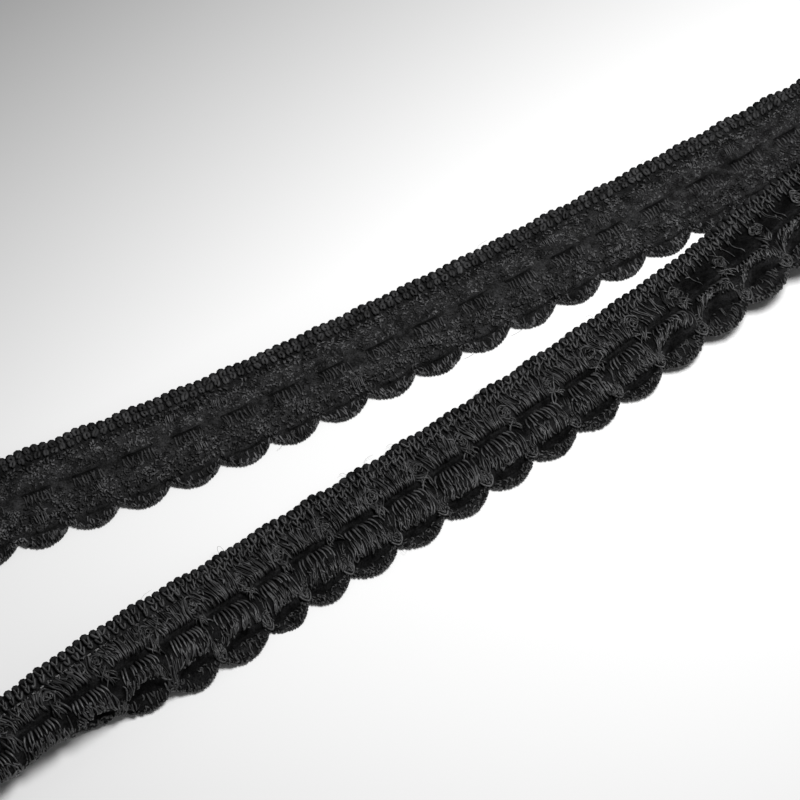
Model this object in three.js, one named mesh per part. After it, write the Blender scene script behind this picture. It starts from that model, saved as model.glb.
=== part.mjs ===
// A cut length of black picot-edged elastic, doubled back on itself with one soft fold.
// Units are millimetres and +Z is up. The band rests on the plane z = 0.
//
// A place on the band is (along, across, out). along counts scallops from the first cut end,
// across is measured from the beaded heading edge to the scalloped edge, and out is the height
// above the flat back, towards the shell-stitched face.
import * as THREE from "three";

// Driving dimensions
const scallopCount = 50;
const pitchAtOrigin = 7.64; // one scallop along the band, where plan x is 0
const pitchGrowth = 0.0008; // the band is stretched a little more for each mm towards the fold
const cuspAcross = 12.9; // heading edge to the notch between two scallops
const scallopDepth = 1.6; // notch to the tip of a scallop
const scallopRoundness = 0.6; // power of the sine that draws a scallop, lower is squarer
const shellRoundness = 0.5; // the same for a shell's crest along the band
const curlStart = 5.5; // across, where a rolled stretch starts to turn down
const curlEnd = 10.4; // across, where it has turned all the way
const planCentre = { x: 20.56, y: 0.29 }; // plan centre of the laid band, moved to the origin
const stepsPerScallop = 6;
const samplesPerStation = 40;

// Where the heading edge of the back lies, from one cut end, along the lower run that lies face
// down, over the fold, and back along the upper run that lies face up.
// x, y, z: place, mm. roll: turn of the whole section towards its back, degrees.
// curl: further turn between curlStart and curlEnd, degrees. width: share of the full width.
const stations = [
  { x: -69.0, y: 24.0, z: 2.1, roll: 0, curl: 0, width: 1 },
  { x: -52.8, y: 21.1, z: 2.1, roll: 0, curl: 0, width: 1 },
  { x: -22.6, y: 17.2, z: 2.1, roll: 0, curl: 0, width: 1 },
  { x: 9.8, y: 15.0, z: 2.1, roll: 0, curl: 0, width: 1 },
  { x: 44.5, y: 14.1, z: 2.1, roll: 0, curl: 0, width: 1 },
  { x: 79.6, y: 13.9, z: 2.1, roll: 0, curl: 0, width: 1 },
  { x: 101.0, y: 13.8, z: 2.2, roll: 0, curl: 0, width: 1 },
  { x: 112.5, y: 13.4, z: 3.2, roll: 0, curl: 0, width: 1 },
  { x: 117.0, y: 12.6, z: 6.2, roll: 0, curl: 0, width: 1 },
  { x: 112.5, y: 11.0, z: 9.0, roll: -2, curl: 0, width: 1 },
  { x: 101.0, y: 7.6, z: 8.2, roll: -5, curl: 0, width: 0.97 },
  { x: 88.0, y: 4.0, z: 6.1, roll: -6, curl: 0, width: 0.95 },
  { x: 70.0, y: 0.6, z: 3.9, roll: -6, curl: 0, width: 0.94 },
  { x: 50.5, y: -2.2, z: 1.7, roll: -4, curl: 0, width: 0.95 },
  { x: 32.0, y: -3.8, z: 0.4, roll: -1, curl: 0, width: 0.97 },
  { x: 13.8, y: -5.1, z: 0.0, roll: 0, curl: 0, width: 0.99 },
  { x: -12.0, y: -6.6, z: 0.0, roll: 0, curl: 0, width: 1 },
  { x: -29.0, y: -7.3, z: 0.0, roll: 0, curl: 0, width: 1 },
  { x: -37.2, y: -8.4, z: 1.6, roll: -1, curl: 15, width: 1 },
  { x: -45.4, y: -9.4, z: 3.4, roll: -4, curl: 36, width: 1 },
  { x: -53.4, y: -10.5, z: 4.9, roll: -8, curl: 68, width: 0.98 },
  { x: -61.5, y: -11.5, z: 5.5, roll: -10, curl: 108, width: 0.95 },
  { x: -69.1, y: -12.4, z: 5.2, roll: -8, curl: 135, width: 0.9 },
  { x: -78.7, y: -13.6, z: 4.9, roll: -8, curl: 150, width: 0.88 },
];

// Section of the face: its height at a knot between two scallops and at a scallop's middle.
// across is a distance from the heading edge, and edge marks the scalloped edge.
const faceSection = [
  { across: 0, knot: 1.05, middle: 1.05 },
  { across: 1.0, knot: 1.35, middle: 1.35 },
  { across: 2.4, knot: 1.0, middle: 1.05 },
  { across: 4.8, knot: 1.25, middle: 1.9 },
  { across: 6.3, knot: 1.3, middle: 0.85 },
  { across: 7.5, knot: 1.1, middle: 1.4 },
  { across: 10.6, knot: 1.15, middle: 2.25 },
  { across: 12.1, knot: 1.25, middle: 0.8 },
  { edge: true, knot: 1.0, middle: 0.95 },
];
const backSection = [
  { across: 0, height: 0.15 },
  { across: 2.4, height: 0 },
  { across: 6.3, height: 0 },
  { across: 11.4, height: 0 },
  { edge: true, height: 0.1 },
];
const columns = ["x", "y", "z", "roll", "curl", "width"];

// A smooth curve through one column of the stations. Its slope at a station is the mean of the
// two stretches beside it, or 0 where they rise and fall, so that flat stretches stay flat.
function columnCurve(values, knots) {
  const steps = values.slice(1).map((value, i) => (value - values[i]) / (knots[i + 1] - knots[i]));
  const slopes = values.map((_, i) => {
    if (i === 0) return steps[0];
    if (i === steps.length) return steps[i - 1];
    if (steps[i - 1] * steps[i] <= 0) return 0;
    const before = knots[i] - knots[i - 1];
    const after = knots[i + 1] - knots[i];
    return (steps[i - 1] * after + steps[i] * before) / (before + after);
  });
  return (i, t) => {
    const gap = knots[i + 1] - knots[i];
    return (
      (2 * t ** 3 - 3 * t ** 2 + 1) * values[i] +
      (t ** 3 - 2 * t ** 2 + t) * gap * slopes[i] +
      (3 * t ** 2 - 2 * t ** 3) * values[i + 1] +
      (t ** 3 - t ** 2) * gap * slopes[i + 1]
    );
  };
}

// Many rows of the six columns along the band, close together.
function sampledRoute() {
  const knots = [0];
  for (let i = 1; i < stations.length; i++) {
    const [a, b] = [stations[i - 1], stations[i]];
    knots.push(knots[i - 1] + Math.sqrt(Math.hypot(b.x - a.x, b.y - a.y, b.z - a.z)));
  }
  const curves = columns.map((name) => columnCurve(stations.map((row) => row[name]), knots));
  const rows = [];
  for (let i = 0; i < stations.length - 1; i++) {
    for (let k = 0; k < samplesPerStation; k++) {
      rows.push(curves.map((curve) => curve(i, k / samplesPerStation)));
    }
  }
  rows.push(columns.map((name) => stations.at(-1)[name]));
  return rows;
}

// How many scallops have passed at each row, scaled so that the band holds a whole number.
function scallopsPassed(rows) {
  const passed = [0];
  for (let i = 1; i < rows.length; i++) {
    const [a, b] = [rows[i - 1], rows[i]];
    const pitch = pitchAtOrigin * (1 + (pitchGrowth * (a[0] + b[0])) / 2);
    passed.push(passed[i - 1] + Math.hypot(b[0] - a[0], b[1] - a[1], b[2] - a[2]) / pitch);
  }
  const scale = scallopCount / passed.at(-1);
  return passed.map((count) => count * scale);
}

const route = sampledRoute();
const passed = scallopsPassed(route);

function routeAt(along) {
  let i = passed.findIndex((count) => count >= along);
  i = Math.max(1, i < 0 ? passed.length - 1 : i);
  const t = (along - passed[i - 1]) / (passed[i] - passed[i - 1]);
  return route[i].map((value, k) => route[i - 1][k] + (value - route[i - 1][k]) * t);
}

// The section's own axes: forward along the band, sideways towards the scallops, and outwards.
function axesAt(along) {
  const near = 0.02;
  const ahead = new THREE.Vector3(...routeAt(Math.min(along + near, scallopCount)));
  const behind = new THREE.Vector3(...routeAt(Math.max(along - near, 0)));
  const forward = ahead.sub(behind).normalize();
  const sideways = new THREE.Vector3(0, -1, 0);
  sideways.addScaledVector(forward, -sideways.dot(forward)).normalize();
  return { sideways, outwards: forward.clone().cross(sideways) };
}

// A place on the band. The section runs straight to curlStart, turns evenly to curlEnd and runs
// straight again, so its reach and its drop are sums of sines and cosines.
function place(along, across, out) {
  const [x, y, z, rollDegrees, curlDegrees, width] = routeAt(along);
  const { sideways, outwards } = axesAt(along);
  const roll = THREE.MathUtils.degToRad(rollDegrees);
  const rate = THREE.MathUtils.degToRad(Math.max(curlDegrees, 0.01)) / (curlEnd - curlStart);
  const wide = across * width;
  const angle = roll + rate * THREE.MathUtils.clamp(wide - curlStart, 0, curlEnd - curlStart);
  const before = Math.min(wide, curlStart);
  const after = Math.max(wide - curlEnd, 0);
  const reach =
    before * Math.cos(roll) +
    (Math.sin(angle) - Math.sin(roll)) / rate +
    after * Math.cos(angle);
  const drop =
    before * Math.sin(roll) +
    (Math.cos(roll) - Math.cos(angle)) / rate +
    after * Math.sin(angle);
  const point = new THREE.Vector3(x - planCentre.x, y - planCentre.y, z)
    .addScaledVector(sideways, reach + out * Math.sin(angle))
    .addScaledVector(outwards, out * Math.cos(angle) - drop);
  point.z = Math.max(point.z, 0); // crests that rest on the surface are pressed flat
  return point;
}

function edgeAcross(along) {
  const bulge = Math.abs(Math.sin(Math.PI * along)) ** scallopRoundness;
  return cuspAcross + scallopDepth * bulge;
}

// One ring of points around the section, face first and then the back.
function ring(along) {
  const crest = Math.abs(Math.sin(Math.PI * along)) ** shellRoundness;
  const acrossOf = (row) => (row.edge ? edgeAcross(along) : row.across);
  const face = faceSection.map((row) =>
    place(along, acrossOf(row), row.knot + (row.middle - row.knot) * crest),
  );
  const back = backSection.map((row) => place(along, acrossOf(row), row.height));
  return [...face, ...back];
}

// Closes an end with triangles that step along the face and the back together.
function endCap(first, flipped) {
  const faceLast = faceSection.length - 1;
  const backLast = backSection.length - 1;
  const triangles = [];
  let f = 0;
  let b = 0;
  while (f < faceLast || b < backLast) {
    const alongFace = b === backLast || (f < faceLast && f / faceLast <= b / backLast);
    const corner = alongFace ? first + f + 1 : first + faceSection.length + b + 1;
    const triangle = [first + f, corner, first + faceSection.length + b];
    triangles.push(...(flipped ? triangle.reverse() : triangle));
    if (alongFace) f++;
    else b++;
  }
  return triangles;
}

// The whole band: rings along it, joined into a closed skin.
function bandGeometry() {
  const rings = scallopCount * stepsPerScallop;
  const size = faceSection.length + backSection.length;
  const faceLast = faceSection.length - 1;
  const around = [];
  for (let f = faceLast; f >= 0; f--) around.push(f);
  for (let b = 0; b < backSection.length; b++) around.push(faceSection.length + b);
  const places = [];
  const triangles = [];
  for (let i = 0; i <= rings; i++) {
    for (const point of ring(i / stepsPerScallop)) places.push(point.x, point.y, point.z);
    if (i === rings) break;
    around.forEach((a, k) => {
      const b = around[(k + 1) % around.length];
      const low = i * size;
      triangles.push(low + a, low + b, low + size + b, low + a, low + size + b, low + size + a);
    });
  }
  triangles.push(...endCap(0, false), ...endCap(rings * size, true));
  const geometry = new THREE.BufferGeometry();
  geometry.setAttribute("position", new THREE.Float32BufferAttribute(places, 3));
  geometry.setIndex(triangles);
  geometry.computeVertexNormals();
  return geometry;
}

const yarn = new THREE.MeshStandardMaterial({ color: 0x161617, roughness: 0.85, metalness: 0 });

const elastic = new THREE.Group();
const band = new THREE.Mesh(bandGeometry(), yarn);
band.name = "picot_band";
elastic.add(band);

export default elastic;
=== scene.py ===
"""A cut length of black picot elastic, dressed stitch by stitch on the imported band.

Geometry is worked out in millimetres and written into the meshes in metres. A place on the band is
(along, across, out): along counts scallops from the first cut end, across is measured from the
beaded heading edge to the scalloped edge, and out is the height above the flat back.
"""

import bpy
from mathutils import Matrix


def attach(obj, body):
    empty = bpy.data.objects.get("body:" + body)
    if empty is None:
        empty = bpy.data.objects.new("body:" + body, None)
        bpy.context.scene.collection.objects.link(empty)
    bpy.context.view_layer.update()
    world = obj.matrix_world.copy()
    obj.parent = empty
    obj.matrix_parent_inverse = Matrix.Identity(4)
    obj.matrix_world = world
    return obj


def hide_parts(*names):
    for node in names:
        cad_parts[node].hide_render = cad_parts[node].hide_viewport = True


bl_info = {
    "name": "Picot Elastic",
    "version": (1, 0, 0),
    "blender": (4, 5, 0),
    "location": "View3D > Sidebar > Picot Elastic",
    "description": "Builds a length of shell-stitched picot elastic, yarn by yarn",
    "category": "Object",
}

from collections import namedtuple

import bpy
import numpy as np
from bpy.props import FloatProperty, FloatVectorProperty, IntProperty, PointerProperty
from mathutils import Vector

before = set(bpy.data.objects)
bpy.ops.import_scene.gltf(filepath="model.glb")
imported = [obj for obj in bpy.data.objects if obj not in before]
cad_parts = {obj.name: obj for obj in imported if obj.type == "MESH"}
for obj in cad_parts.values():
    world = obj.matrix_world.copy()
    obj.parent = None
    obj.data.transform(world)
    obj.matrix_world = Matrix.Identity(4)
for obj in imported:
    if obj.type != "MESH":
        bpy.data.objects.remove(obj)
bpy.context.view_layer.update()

MM = 0.001
BODY = "root"
NODE = "picot_band"

# The band's route and curl, as in the part's source
SCALLOPS = 50
STITCHES = 6
PITCH_AT_ORIGIN = 7.64
PITCH_GROWTH = 0.0008
CURL_START = 5.5
CURL_END = 10.4
PLAN_CENTRE = np.array([20.56, 0.29, 0.0])
SAMPLES_PER_STATION = 40
STATION_COLUMNS = ("x", "y", "z", "roll", "curl", "width")
STATIONS = np.array([
    (-69.0, 24.0, 2.1, 0, 0, 1),
    (-52.8, 21.1, 2.1, 0, 0, 1),
    (-22.6, 17.2, 2.1, 0, 0, 1),
    (9.8, 15.0, 2.1, 0, 0, 1),
    (44.5, 14.1, 2.1, 0, 0, 1),
    (79.6, 13.9, 2.1, 0, 0, 1),
    (101.0, 13.8, 2.2, 0, 0, 1),
    (112.5, 13.4, 3.2, 0, 0, 1),
    (117.0, 12.6, 6.2, 0, 0, 1),
    (112.5, 11.0, 9.0, -2, 0, 1),
    (101.0, 7.6, 8.2, -5, 0, 0.97),
    (88.0, 4.0, 6.1, -6, 0, 0.95),
    (70.0, 0.6, 3.9, -6, 0, 0.94),
    (50.5, -2.2, 1.7, -4, 0, 0.95),
    (32.0, -3.8, 0.4, -1, 0, 0.97),
    (13.8, -5.1, 0.0, 0, 0, 0.99),
    (-12.0, -6.6, 0.0, 0, 0, 1),
    (-29.0, -7.3, 0.0, 0, 0, 1),
    (-37.2, -8.4, 1.6, -1, 15, 1),
    (-45.4, -9.4, 3.4, -4, 36, 1),
    (-53.4, -10.5, 4.9, -8, 68, 0.98),
    (-61.5, -11.5, 5.5, -10, 108, 0.95),
    (-69.1, -12.4, 5.2, -8, 135, 0.9),
    (-78.7, -13.6, 4.9, -8, 150, 0.88),
])

# Shells of the first row that sag behind the heading, and shells of the second row that are
# drawn short: places along the band in scallops, and how much of the way they go
SUNK_PLACES = (28.5, 30.0, 33.7, 35.2)
SUNK_SHARES = (0, 1, 1, 0)
SHORT_PLACES = (28.5, 30.0, 33.5, 34.5, 35.3, 42.5, 43.5, 44.5, 45.5, 46.5)
SHORT_SHARES = (0, 1, 1, 0.75, 0, 0, 0.15, 0.42, 0.6, 0.95)

# The run that lies face down lets its scalloped edge sink to the surface
DROP = 1.35
DROP_START = 10.5
DROP_END = 14.2
DROP_PLACES = (19, 25)
DROP_SHARES = (1, 0)

# The heading edge stands further out beside each knot, by a wave that differs from knot to knot,
# and over the run that lies face up
EDGE_WAVE_PLACE = 0.8
EDGE_WAVE_REACH = 3.0
EDGE_PLACES = (27, 31.2, 31.9, 32.8, 36.5, 38.5, 42, 44, 47)
EDGE_REACHES = (0, 0.4, 0.95, 0.38, 0.22, 0.08, 0.12, 0.22, 0.28)

# Open holes behind the heading, one a stitch, on the stretch that is pulled
HOLES_FROM = 45
HOLES_TO = 50

# How far the first row's knots and the notches' knots lie before an even count, and where one
# stray loop stands, in scallops
KNOT_LEAD = 0.12
NOTCH_LEAD = 0.04
STRAY_LOOP_PLACE = 43.75

# Share of the fine yarns that are made where a side lies on the surface and can't be seen
THINNED = {"face": ((22, 25), (0.25, 1)), "back": ((30, 33), (1, 0.25))}

# How far the stitches run ahead of an even count, in scallops, at places along the band
DRIFT_PLACES = (0, 26, 33, 40, 44, 47, 50)
DRIFT_SHARES = (0, 0, -0.1, -0.07, 0.0, 0.14, 0.2)

# A section of the knitted body. Each pair is (across, out), at the knot between two scallops, at a
# scallop's middle, and at the middle where the shells are pinched. Roundness is the power of the
# sine that blends the knot into the middle along the band: lower is squarer. Shift moves that
# row's middle along the band, in scallops.
Row = namedtuple("Row", "name knot middle pinched roundness shift")
FACE_ROWS = (
    Row("edge", (0.15, 0.45), (0.15, 0.45), (0.15, 0.45), 0.6, -0.12),
    Row("bead", (0.40, 0.65), (0.40, 0.65), (0.40, 0.65), 0.6, -0.12),
    Row("head", (1.30, 0.52), (1.30, 0.52), (1.20, 0.60), 0.6, -0.12),
    Row("head_end", (2.50, 0.52), (2.50, 0.52), (2.40, 0.60), 0.5, -0.12),
    Row("first_start", (3.30, 0.65), (3.30, 1.00), (2.80, 0.50), 0.5, -0.12),
    Row("first_rise", (4.40, 0.70), (4.60, 1.50), (3.80, 0.40), 0.6, -0.12),
    Row("first_crest", (5.40, 0.75), (5.60, 1.85), (5.10, 1.15), 0.8, -0.12),
    Row("first_lip", (6.10, 0.75), (6.14, 1.62), (6.10, 1.75), 1.0, -0.13),
    Row("first_under", (6.45, 0.70), (6.30, 1.15), (6.60, 1.40), 1.0, -0.13),
    Row("slot_back", (6.70, 0.70), (6.44, 0.70), (6.75, 0.90), 1.6, -0.14),
    Row("slot_floor", (7.00, 0.70), (6.85, 0.30), (7.00, 0.55), 1.6, -0.14),
    Row("comb_start", (7.40, 0.65), (7.36, 0.40), (7.50, 0.95), 1.0, -0.14),
    Row("comb", (7.90, 0.60), (8.05, 1.05), (7.90, 1.65), 0.7, -0.14),
    Row("second_rise", (9.00, 0.60), (9.20, 1.65), (8.10, 1.90), 0.6, -0.13),
    Row("crest", (10.20, 0.65), (10.60, 2.05), (8.40, 2.05), 0.6, -0.11),
    Row("second_lip", (11.00, 0.75), (11.60, 1.80), (8.80, 1.85), 0.7, -0.08),
    Row("second_nose", (11.70, 0.80), (11.98, 1.35), (8.95, 1.35), 0.8, -0.07),
    Row("pocket_back", (11.90, 0.80), (12.15, 0.85), (9.15, 0.85), 1.4, -0.06),
    Row("pocket_floor", (12.10, 0.80), (12.50, 0.36), (9.80, 0.35), 1.8, -0.05),
    Row("pocket_end", (12.25, 0.80), (12.98, 0.38), (10.60, 0.45), 1.4, -0.03),
    Row("lobe_rise", (12.42, 0.80), (13.32, 0.75), (11.30, 0.90), 1.0, -0.01),
    Row("lobe", (12.62, 0.75), (14.22, 0.80), (13.70, 1.05), 0.85, 0.0),
    Row("rim", (12.80, 0.45), (14.76, 0.45), (14.66, 0.60), 0.8, 0.0),
)
BACK_ROWS = (
    Row("rim", (12.80, 0.45), (14.76, 0.45), (14.66, 0.60), 0.8, 0.0),
    Row("lobe", (12.62, 0.20), (14.32, 0.20), (14.30, 0.25), 0.85, 0.0),
    Row("lobe_end", (12.48, 0.15), (13.05, 0.20), (13.05, 0.20), 0.9, 0.0),
    Row("low_line", (12.28, 0.10), (12.75, 0.42), (12.75, 0.42), 1.5, 0.05),
    Row("puff_end", (12.10, 0.05), (12.50, 0.02), (12.50, 0.02), 0.8, 0.08),
    Row("puff", (10.00, 0.05), (10.20, 0.00), (10.20, 0.00), 0.8, 0.15),
    Row("comb_end", (9.00, 0.05), (9.00, 0.05), (9.00, 0.05), 0.8, 0.15),
    Row("comb", (7.40, 0.05), (7.40, 0.10), (7.40, 0.10), 0.8, 0.15),
    Row("high_floor", (7.10, 0.05), (7.15, 0.55), (7.15, 0.55), 1.3, 0.15),
    Row("high_line", (6.80, 0.05), (6.75, 0.60), (6.75, 0.60), 1.3, 0.15),
    Row("band_end", (6.60, 0.00), (6.85, -0.05), (6.85, -0.05), 0.8, 0.12),
    Row("band", (4.50, 0.00), (4.50, 0.00), (4.50, 0.00), 0.8, 0.0),
    Row("head_end", (2.62, 0.30), (2.62, 0.30), (2.62, 0.30), 0.8, 0.0),
    Row("head_line", (2.40, 0.30), (2.40, 0.30), (2.40, 0.30), 0.8, 0.0),
    Row("head", (1.45, 0.06), (1.45, 0.06), (1.45, 0.06), 0.8, 0.0),
    Row("bead", (0.50, 0.15), (0.50, 0.15), (0.50, 0.15), 0.8, 0.0),
    Row("edge", (0.15, 0.45), (0.15, 0.45), (0.15, 0.45), 0.6, -0.12),
)

# How light the face of the knitted body is, from 0 for its core to 1 for its yarn, at row numbers.
# The slot and pocket floors and the body between the comb-like ribs are 0, painted shade; the
# undercuts just above them are a little lighter than their neighbours, painted light where little
# light reaches
FACE_SHADE_ROWS = (0, 3, 4, 7, 8, 9, 9.8, 11, 12.5, 13.5, 16, 17, 17.8, 19.5, 20.5)
FACE_SHADES = (0.7, 0.5, 0.4, 0.4, 0.5, 0.5, 0, 0, 0.05, 0.35, 0.4, 0.5, 0, 0, 0.35)

# How much darker the middles of the back's lines are than the rest of the back: painted shade in
# the grooves of the high and low lines, and a darker comb area between them
BACK_LINES = (
    ("low_line", 0.9),
    ("comb_end", 0.4),
    ("comb", 0.7),
    ("high_floor", 1.0),
    ("high_line", 1.0),
)
STEPS_PER_SCALLOP = 12
SAMPLES_PER_ROW = 12
ROUND_PITCH = 7.6
FULL_TURN = 6.28


class PicotSizes(bpy.types.PropertyGroup):
    """Thickness and number of the yarns"""

    bead_radius: FloatProperty(
        name="Bead yarn radius",
        description="Half the thickness of the yarn that wraps the heading edge",
        default=0.5 * MM,
        unit="LENGTH",
        precision=5,
    )
    strand_radius: FloatProperty(
        name="Heading yarn radius",
        description="Half the thickness of the strands behind the beads",
        default=0.17 * MM,
        unit="LENGTH",
        precision=5,
    )
    rib_radius: FloatProperty(
        name="Rib radius",
        description="Half the thickness of the comb-like ribs of the second shells",
        default=0.18 * MM,
        unit="LENGTH",
        precision=5,
    )
    filament_radius: FloatProperty(
        name="Filament radius",
        description="Half the thickness of the fine floats over the shells",
        default=0.1 * MM,
        unit="LENGTH",
        precision=5,
    )
    floats: IntProperty(
        name="Floats per shell",
        description="Fine floats over each shell of the first row",
        default=28,
    )
    ribs: IntProperty(
        name="Ribs per shell",
        description="Comb-like ribs on each shell of the second row",
        default=9,
    )
    filaments: IntProperty(
        name="Filaments per shell",
        description="Fine filaments between the ribs of each shell of the second row",
        default=26,
    )


class PicotFinish(bpy.types.PropertyGroup):
    """Colours of the yarn and the stage"""

    yarn_colour: FloatVectorProperty(
        name="Yarn colour",
        description="Colour of the black yarn where it faces the light",
        subtype="COLOR",
        default=(0.026, 0.026, 0.0266),
        min=0.0,
        max=1.0,
    )
    # The core colour is painted shade: the black yarn darkened where little light reaches, deep
    # between the stitches
    painted_core_shade: FloatVectorProperty(
        name="Core colour",
        description="Colour of the knitted body deep between the stitches",
        subtype="COLOR",
        default=(0.0048, 0.0048, 0.0049),
        min=0.0,
        max=1.0,
    )
    floor_colour: FloatVectorProperty(
        name="Floor colour",
        description="Colour of the pale surface that the band lies on",
        subtype="COLOR",
        default=(0.88, 0.88, 0.88),
        min=0.0,
        max=1.0,
    )


def cubic(values, slopes, width, samples):
    """The given rows with samples between them, on cubic curves that have the given slopes there."""
    t = (np.arange(samples) / samples)[None, :, None]
    rows = (
        (2 * t**3 - 3 * t**2 + 1) * values[:-1, None]
        + (t**3 - 2 * t**2 + t) * width * slopes[:-1, None]
        + (3 * t**2 - 2 * t**3) * values[1:, None]
        + (t**3 - t**2) * width * slopes[1:, None]
    )
    return np.concatenate([rows.reshape(-1, values.shape[1]), values[-1:]])


def sampled_route():
    """Rows of the station columns along the band, close together.

    Between stations each column follows a cubic curve. Its slope at a station is the mean of the
    stretches on both sides, each weighed by the other's length, or 0 where they rise and fall."""
    steps = np.linalg.norm(np.diff(STATIONS[:, :3], axis=0), axis=1)
    gaps = np.sqrt(steps)[:, None]
    secants = np.diff(STATIONS, axis=0) / gaps
    slopes = np.zeros_like(STATIONS)
    slopes[0] = secants[0]
    slopes[-1] = secants[-1]
    before = gaps[:-1]
    after = gaps[1:]
    mean = (secants[:-1] * after + secants[1:] * before) / (before + after)
    slopes[1:-1] = np.where(secants[:-1] * secants[1:] > 0, mean, 0)
    return cubic(STATIONS, slopes, gaps[:, None], SAMPLES_PER_STATION)


def scallops_passed(rows):
    """How many scallops have passed at each row of the route: length over the local pitch, scaled
    so that the band holds a whole number."""
    lengths = np.linalg.norm(np.diff(rows[:, :3], axis=0), axis=1)
    middle_x = (rows[1:, 0] + rows[:-1, 0]) / 2
    passed = np.cumsum(lengths / (PITCH_AT_ORIGIN * (1 + PITCH_GROWTH * middle_x)))
    return np.concatenate([[0], passed * SCALLOPS / passed[-1]])


ROUTE = sampled_route()
PASSED = scallops_passed(ROUTE)


def unit(vectors):
    """Vectors divided by their own lengths."""
    return vectors / np.maximum(np.linalg.norm(vectors, axis=-1, keepdims=True), 1e-9)


def route_at(along):
    """The station columns at any place along the band."""
    along = np.clip(along, 0, SCALLOPS)
    columns = [np.interp(along, PASSED, ROUTE[:, k]) for k in range(len(STATION_COLUMNS))]
    return np.stack(columns, axis=-1)


def axes_at(along):
    """Forward along the band, sideways towards the scallops, and outwards from the face."""
    near = 0.02
    ahead = route_at(np.minimum(along + near, SCALLOPS))[..., :3]
    behind = route_at(np.maximum(along - near, 0))[..., :3]
    forward = unit(ahead - behind)
    sideways = np.zeros_like(forward)
    sideways[..., 1] = -1
    sideways -= forward * np.sum(sideways * forward, axis=-1, keepdims=True)
    sideways = unit(sideways)
    return forward, sideways, np.cross(forward, sideways)


def smoothstep(value):
    """0 below 0, 1 above 1, and a smooth S between."""
    value = np.clip(value, 0, 1)
    return value * value * (3 - 2 * value)


def edge_drop(along, across):
    """How far the scalloped edge sinks, along the outward direction: a smooth S across the edge,
    times the share of that place along the band."""
    share = np.interp(along, DROP_PLACES, DROP_SHARES)
    return DROP * share * smoothstep((across - DROP_START) / (DROP_END - DROP_START))


def edge_wave(along, across):
    """How far the heading edge stands out: a reach that changes slowly and a cosine along each
    scallop, both fading across."""
    wave = np.interp(along, KNOTS, WAVES) * np.cos(2 * np.pi * (along - EDGE_WAVE_PLACE))
    reach = np.interp(along, EDGE_PLACES, EDGE_REACHES)
    return (wave + reach) * (1 - smoothstep(across / EDGE_WAVE_REACH))


def place(along, across, out, clearance=0.0):
    """Places on the band, in millimetres, and the outward direction there.

    The section runs straight to CURL_START, turns evenly to CURL_END and runs straight again, so
    its reach and its drop are sums of sines and cosines of the turn. Nothing is let below the
    surface by more than its clearance."""
    along, across, out = np.broadcast_arrays(along, across, out)
    out = out + edge_drop(along, across)
    across = across - edge_wave(along, across)
    along = np.clip(along + np.interp(along, DRIFT_PLACES, DRIFT_SHARES), 0, SCALLOPS)
    rows = route_at(along)
    forward, sideways, outwards = axes_at(along)
    roll = np.radians(rows[..., 3])
    rate = np.radians(np.maximum(rows[..., 4], 0.01)) / (CURL_END - CURL_START)
    wide = across * rows[..., 5]
    angle = roll + rate * np.clip(wide - CURL_START, 0, CURL_END - CURL_START)
    before = np.minimum(wide, CURL_START)
    after = np.maximum(wide - CURL_END, 0)
    reach = before * np.cos(roll) + (np.sin(angle) - np.sin(roll)) / rate + after * np.cos(angle)
    drop = before * np.sin(roll) + (np.cos(roll) - np.cos(angle)) / rate + after * np.sin(angle)
    shift_sideways = reach + out * np.sin(angle)
    shift_outwards = out * np.cos(angle) - drop
    points = rows[..., :3] - PLAN_CENTRE
    points = points + sideways * shift_sideways[..., None] + outwards * shift_outwards[..., None]
    points[..., 2] = np.maximum(points[..., 2], clearance)
    outward = sideways * np.sin(angle)[..., None] + outwards * np.cos(angle)[..., None]
    return points, forward, outward


def smooth_rows(rows):
    """The section's columns on a fine grid of row numbers: a curve through each row whose slope
    there is half the difference of its two neighbours."""
    table = np.array([
        (*row.knot, *row.middle, *row.pinched, row.roundness, row.shift) for row in rows
    ])
    return cubic(table, np.gradient(table, axis=0), 1, SAMPLES_PER_ROW)


SIDES = {"face": FACE_ROWS, "back": BACK_ROWS}
SECTIONS = {side: smooth_rows(rows) for side, rows in SIDES.items()}
MARKS = {side: {row.name: number for number, row in enumerate(rows)} for side, rows in SIDES.items()}

# For each scallop: its first knot and middle along the band, the height of the heading edge's
# wave, how plump its shells are, and how far they are sunk or short
KNOTS = np.arange(SCALLOPS + 1)
MIDDLES = KNOTS + 0.5
WAVES = np.random.default_rng(8).uniform(0.02, 0.3, SCALLOPS + 1)
PUFF = 1 + 0.1 * np.random.default_rng(7).standard_normal(SCALLOPS + 1)
SUNK = np.interp(MIDDLES, SUNK_PLACES, SUNK_SHARES)
SHORT = np.interp(MIDDLES, SHORT_PLACES, SHORT_SHARES)
NONE_SUNK = np.zeros(SCALLOPS + 1)

# Places along the band of every stitch's middle, and of the knots between two scallops
STITCH_MIDDLES = ((np.arange(SCALLOPS * STITCHES) + 0.5) / STITCHES)[:, None]
INNER_KNOTS = KNOTS[1:-1, None] * 1.0


def section(along, row, side):
    """(across, out) of the knitted body at a row number: the knot's place blended into the
    middle's by a power of the sine along the scallop. A sunk or short shell's middle goes over to
    the pinched one."""
    table = SECTIONS[side]
    grid = np.arange(len(table)) / SAMPLES_PER_ROW
    columns = [np.interp(row, grid, table[:, k]) for k in range(table.shape[1])]
    knot_across, knot_out, middle_across, middle_out, tight_across, tight_out = columns[:6]
    roundness, shift = columns[6:]
    shell = np.clip(np.floor(along - shift), 0, SCALLOPS).astype(int)
    second = 1.0 if side == "back" else smoothstep(row - MARKS["face"]["slot_floor"])
    tight = SUNK[shell] + (SHORT[shell] - SUNK[shell]) * second
    weight = np.abs(np.sin(np.pi * (along - shift))) ** roundness
    across = knot_across + weight * (
        middle_across + (tight_across - middle_across) * tight - knot_across
    )
    rise = middle_out + (tight_out - middle_out) * tight - knot_out
    rise = np.where(rise > 0, rise * PUFF[shell], rise)
    return across, knot_out + weight * rise


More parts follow.
